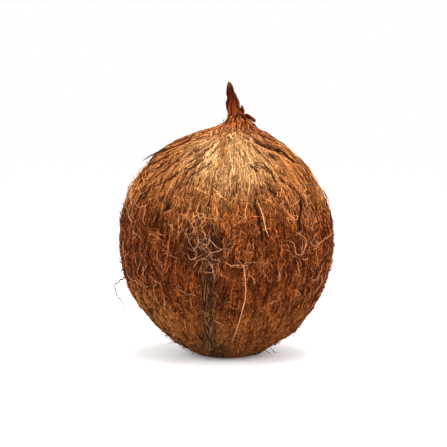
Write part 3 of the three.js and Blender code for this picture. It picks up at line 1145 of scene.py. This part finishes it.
def tree_inputs(where, density, steps, length, radius, stray, curl, lift, tone, seed):
    """The strand tree's inputs, in metres, from one line of the table."""
    sizes = {"Length Low": length[0], "Length High": length[1], "Radius": radius}
    sizes |= {"Curl": curl[0], "Lift": lift[0], "Tip Lift": lift[1]}
    plain = {"Density": density * 1000, "Stray": stray, "Curl Scale": curl[1]}
    plain |= {"Tone Low": tone[0], "Tone High": tone[1]}
    inputs = {key: float(value * MM) for key, value in sizes.items()}
    inputs |= {key: float(value) for key, value in plain.items()}
    return inputs | {"Map": where, "Steps": steps, "Seed": seed}


pieces = []
for name, line in STRANDS.items():
    inputs = tree_inputs(*line)
    if name == "tuft_strands":
        inputs |= {"Heading": TUFT_AIM, "Heading Back": TUFT_AIM}
    pieces.append(grow_strands(name, inputs))

# %% [markdown]
# ## Loose strands and torn scraps
# Some strands have sprung loose, and each nut has its own: pale ones that curl on the belly, a
# straight one over a furrow, and hairs that stand off the outline. They are listed one by one, as
# stops of degrees round from the front, millimetres of height, and millimetres off the skin. A
# smooth line runs through the stops, and a closed tube is made round it.

# %% Find a place on the skin and draw a line
skin_surface = BVHTree.FromObject(skin, bpy.context.evaluated_depsgraph_get())


def spot(azimuth, height, off):
    """The place so many degrees round, at a height, and so far off the skin, in millimetres."""
    x, y = (float(np.interp(height, probe_z, probe_middle[:, i])) for i in (0, 1))
    turn = math.radians(azimuth)
    ray = Vector((math.sin(turn), -math.cos(turn), 0))
    start = Vector((x * MM, y * MM, height * MM))
    hit, facing_out, _, _ = skin_surface.ray_cast(start + ray * 0.1, -ray)
    return np.array(hit + facing_out * (off * MM)) / MM


def smooth_line(stops, steps):
    """A Catmull-Rom line through the stops."""
    stops = np.array(stops, float)
    padded = np.concatenate([2 * stops[:1] - stops[1:2], stops, 2 * stops[-1:] - stops[-2:-1]])
    line = []
    for i in range(len(stops) - 1):
        a, b, c, d = padded[i : i + 4]
        slope, bow, twist = c - a, 2 * a - 5 * b + 4 * c - d, 3 * b - a - 3 * c + d
        line += [0.5 * (2 * b + slope * t + bow * t**2 + twist * t**3) for t in np.arange(steps) / steps]
    return np.array(line + [stops[-1]])


print("a place in front of the belly:", spot(0, HEIGHT / 2, 0).round(1), "mm")

# %% [markdown]
# A tube is a row of rings, one at each point of its line, and a face closes each end. Each ring is
# turned so that it can be pressed flat against the nut, which lies round its heart. Many tubes make
# one piece, and no point of it goes below the floor.

# %% Make a piece from closed tubes
HEART = (0, 0, 60)
LEAST_Z = 0.2


def tube(line, radii, flat=1.0):
    """Points and faces of a closed tube: one row of radii for each point of the line."""
    steps, sides = radii.shape
    ahead = np.gradient(line, axis=0)
    ahead /= np.linalg.norm(ahead, axis=1, keepdims=True)
    off = line - HEART
    off -= ahead * (off * ahead).sum(1, keepdims=True)
    off /= np.linalg.norm(off, axis=1, keepdims=True)
    beside = np.cross(ahead, off)
    turn = np.arange(sides) * 2 * math.pi / sides
    out = off[:, None] * np.cos(turn)[None, :, None] * flat
    out = out + beside[:, None] * np.sin(turn)[None, :, None]
    verts = (line[:, None] + out * radii[:, :, None]).reshape(-1, 3)
    polys = [tuple(reversed(range(sides))), tuple((steps - 1) * sides + j for j in range(sides))]
    for i in range(steps - 1):
        for j in range(sides):
            k = (j + 1) % sides
            polys.append((i * sides + j, i * sides + k, (i + 1) * sides + k, (i + 1) * sides + j))
    return verts, polys


def tubes_piece(name, made):
    """One piece from many tubes, each with its tone."""
    verts, polys, first = [], [], 0
    carried = {"strand": [], "side": [], "along": [], "tone": []}
    for number, (line, radii, flat, tone) in enumerate(made):
        tube_verts, tube_polys = tube(line, radii, flat)
        polys += [tuple(first + i for i in face) for face in tube_polys]
        verts.append(tube_verts)
        first += len(tube_verts)
        steps, sides = radii.shape
        carried["strand"] += [number] * (steps * sides)
        carried["side"] += list(range(sides)) * steps
        carried["along"] += list(np.repeat(np.linspace(0, 1, steps), sides))
        carried["tone"] += list(np.clip(tone, 0, 1).ravel())
    mesh = bpy.data.meshes.new(name)
    verts = np.concatenate(verts)
    verts[:, 2] = np.maximum(verts[:, 2], LEAST_Z)
    mesh.from_pydata((verts * MM).tolist(), [], polys)
    for key, values in carried.items():
        kind = "INT" if key in ("strand", "side") else "FLOAT"
        mesh.attributes.new(key, kind, "POINT").data.foreach_set("value", values)
    for key in ("seam", "gap"):
        mesh.attributes.new(key, "FLOAT", "POINT")
    mesh.materials.append(strand_finish)
    print(name, "has", cell_map(mesh), "parts and", len(mesh.vertices), "points")
    return plain_piece(mesh, name)


print("a tube's heart lies", HEART[2], "mm up")

# %% [markdown]
# Most of the loose strands are pale and lie on the belly, and the dark ones stand off the outline.
# Each front crack gets a few near-black fibres of the same make, drawn by lot close to its line,
# which stand partly for fibres and partly, as painted shade, for the dark inside of the crack.

# %% Lay the loose strands one by one
# Each loose strand is a radius, a tone and its stops.
LOOSE_STRANDS = [
    (0.33, 0.99, [(18, 89, 0.6), (20, 82, 1.0), (21, 75, 1.0), (23, 70, 0.5)]),
    (0.22, 0.97, [(13, 91, 0.5), (11, 86, 1.0), (10, 81, 1.0), (10, 77, 0.4)]),
    (0.27, 0.98, [(6, 59, 0.5), (9, 55, 1), (10, 46, 1.2), (10, 36, 1), (7, 22, 1), (4, 12, 0.5)]),
    (0.17, 0.95, [(5, 69, 0.5), (3, 65, 1), (2, 61, 0.5)]),
    (0.18, 0.95, [(-1, 58, 0.5), (2, 56, 1), (4, 55, 0.5)]),
    (0.2, 0.96, [(34, 68, 0.8), (38, 66, 1.4), (40, 61, 1.6), (44, 60, 1.8), (47, 65, 1.6),
                 (48, 67, 1.5), (45, 70, 1.5), (40, 72, 0.8)]),
    (0.18, 0.95, [(78, 70, 1.0), (70, 68, 1.5), (63, 66, 1.6), (56, 64, 1.5), (52, 65, 0.8)]),
    (0.17, 0.95, [(11, 52, 0.5), (15, 48, 1.0), (16, 44, 0.5)]),
    (0.18, 0.96, [(-15, 73, 0.8), (-14, 69, 1.4), (-15, 66, 1.4), (-17, 63, 0.8)]),
    (0.18, 0.97, [(-14, 74, 0.8), (-11, 72, 1.4), (-10, 68, 0.8)]),
    (0.18, 0.96, [(-20, 62, 0.8), (-18, 59, 1.4), (-15, 60, 1.4), (-12, 62, 0.8)]),
    (0.17, 0.96, [(-9, 71, 0.8), (-9, 67, 1.4), (-11, 65, 1.4), (-14, 65, 0.8)]),
    (0.17, 0.94, [(-48, 49, 0.5), (-42, 46, 1.0), (-36, 43, 0.5)]),
    (0.16, 0.95, [(-9, 26, 0.4), (-4, 24, 0.8)]),
    (0.18, 0.96, [(-14, 89, 0.5), (-16, 85, 1.2), (-15, 81, 1.2), (-13, 79, 0.5)]),
    (0.17, 0.95, [(-58, 84, 0.5), (-51, 85, 1.2), (-47, 87, 0.5)]),
    (0.33, 0.0, [(-74, 46, 0.5), (-84, 44, 2.5), (-90, 42, 4.4), (-90, 40, 8.2), (-90, 32, 8.1),
                  (-90, 29, 8.4)]),
    (0.24, 0.0, [(-90, 98, 0.2), (-90, 95, 1.8), (-90, 89, 1.4)]),
    (0.2, 0.0, [(-88, 80, 0.2), (-90, 79.5, 2.9)]),
    (0.2, 0.0, [(-86, 69, 0.2), (-90, 66, 1.4)]),
    (0.42, 0.05, [(-66, 117, 0.2), (-76, 113.5, 1.0), (-90, 110, 2.4), (-90, 106.5, 4.0)]),
    (0.22, 0.1, [(83, 93, 0.2), (88, 91, 1.6), (90, 87, 2.4)]),
    (0.18, 0.05, [(83, 95, 0.2), (89, 90, 2.2), (90, 85.5, 2.6)]),
    (0.2, 0.0, [(82, 75.5, 0.2), (90, 75, 1.7)]),
    (0.2, 0.0, [(82, 54, 0.2), (90, 53, 2.3)]),
    (0.22, 0.0, [(66, 18, 0.2), (86, 13, 2.0), (90, 11, 5.4)]),
    (0.22, 0.30, [(80, 4.6, 0.4), (90, 4.4, 4), (90, 4.4, 8.8), (90, 4, 11.5)]),
    (0.2, 0.0, [(-76, 127, 0.2), (-88, 130, 1.2), (-90, 131.5, 1.9)]),
]
CRACK_FIBRE = 0.27
CRACK_FIBRES = 3
CRACK_FIBRE_OFF = 1.2
LOOSE_SIDES = 5
SPAN_STEPS = 6


def taper(count):
    """A strand's thickness along it: full in the middle and fine at both ends."""
    t = np.linspace(0, 1, count)
    return 0.3 + 0.7 * np.minimum(smooth_step(t, 0, 0.2), 1 - 0.75 * smooth_step(t, 0.55, 1))


def loose_tube(line, radius, tone):
    """A round tapered strand of one tone along a line."""
    radii = np.repeat(radius * taper(len(line))[:, None], LOOSE_SIDES, 1)
    return line, radii, 1.0, np.full_like(radii, tone)


loose = []
for radius, tone, stops in LOOSE_STRANDS:
    line = np.array([spot(*stop) for stop in smooth_line(stops, SPAN_STEPS)])
    line[1:-1] = (line[:-2] + 2 * line[1:-1] + line[2:]) / 4
    loose.append(loose_tube(line, radius, tone))
crack_fibre_dice = np.random.default_rng(23)
# painted shade: near-black fibres along each front crack, which also stand for the shade down in it
for width, path in FRONT_CRACKS:
    for number in range(CRACK_FIBRES):
        stops = np.array(path) + crack_fibre_dice.normal(0, 0.25, (len(path), 2))
        off = CRACK_FIBRE_OFF + 0.2 * number
        line = np.array([spot(*stop, off) for stop in smooth_line(stops, SPAN_STEPS)])
        loose.append(loose_tube(line, CRACK_FIBRE * width, 0.06 * number))
pieces.append(tubes_piece("loose_strands", loose))

# %% [markdown]
# The scraps at the tuft's foot are torn bits of husk, stiff and ragged. The same tube makes them,
# short and flattened, with a radius that is drawn by lot at every point.

# %% Tear the scraps
# Each scrap is a length, a half width, the stop that it grows from, and its direction.
SCRAPS = [
    (6.6, 2.1, (74, 131.6, 1.9), (0.78, -0.10, -0.62)),
    (4.8, 1.3, (80, 137.2, 1.5), (0.35, 0.00, -0.93)),
    (4.2, 1.0, (20, 134.6, 0.3), (0.90, -0.10, -0.30)),
    (3.6, 1.0, (55, 133.0, 0.5), (0.60, -0.20, -0.75)),
    (3.6, 0.8, (-60, 129.5, 0.3), (-0.50, -0.20, -0.80)),
    (3.0, 0.7, (-10, 133.0, 0.3), (-0.30, -0.30, -0.85)),
    (4.0, 1.0, (150, 132.0, 0.5), (-0.20, 0.50, -0.80)),
    (3.4, 0.9, (-140, 133.0, 0.4), (-0.30, 0.50, -0.80)),
]
SCRAP_SIDES = 11
SCRAP_STEPS = 9
SCRAP_FLAT = 0.55

scrap_dice = np.random.default_rng(17)
scraps = []
for length, width, stop, heading in SCRAPS:
    heading = np.array(heading) / np.linalg.norm(heading)
    t = np.linspace(-0.5, 0.5, SCRAP_STEPS)
    line = spot(*stop) + np.outer(t * length, heading)
    line += scrap_dice.normal(0, 0.12, line.shape)
    outline = np.sqrt(np.clip(1 - (1.7 * t) ** 2, 0.1, 1))
    radii = width * outline[:, None] * scrap_dice.uniform(0.55, 1.25, (SCRAP_STEPS, SCRAP_SIDES))
    tones = scrap_dice.uniform(0.0, 0.42, radii.shape)
    scraps.append((line, radii, SCRAP_FLAT, tones))
pieces.append(tubes_piece("torn_scraps", scraps))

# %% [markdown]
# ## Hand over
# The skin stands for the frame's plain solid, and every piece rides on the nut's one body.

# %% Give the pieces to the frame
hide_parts(NUT)
for piece in [skin, *pieces]:
    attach(piece, "root")
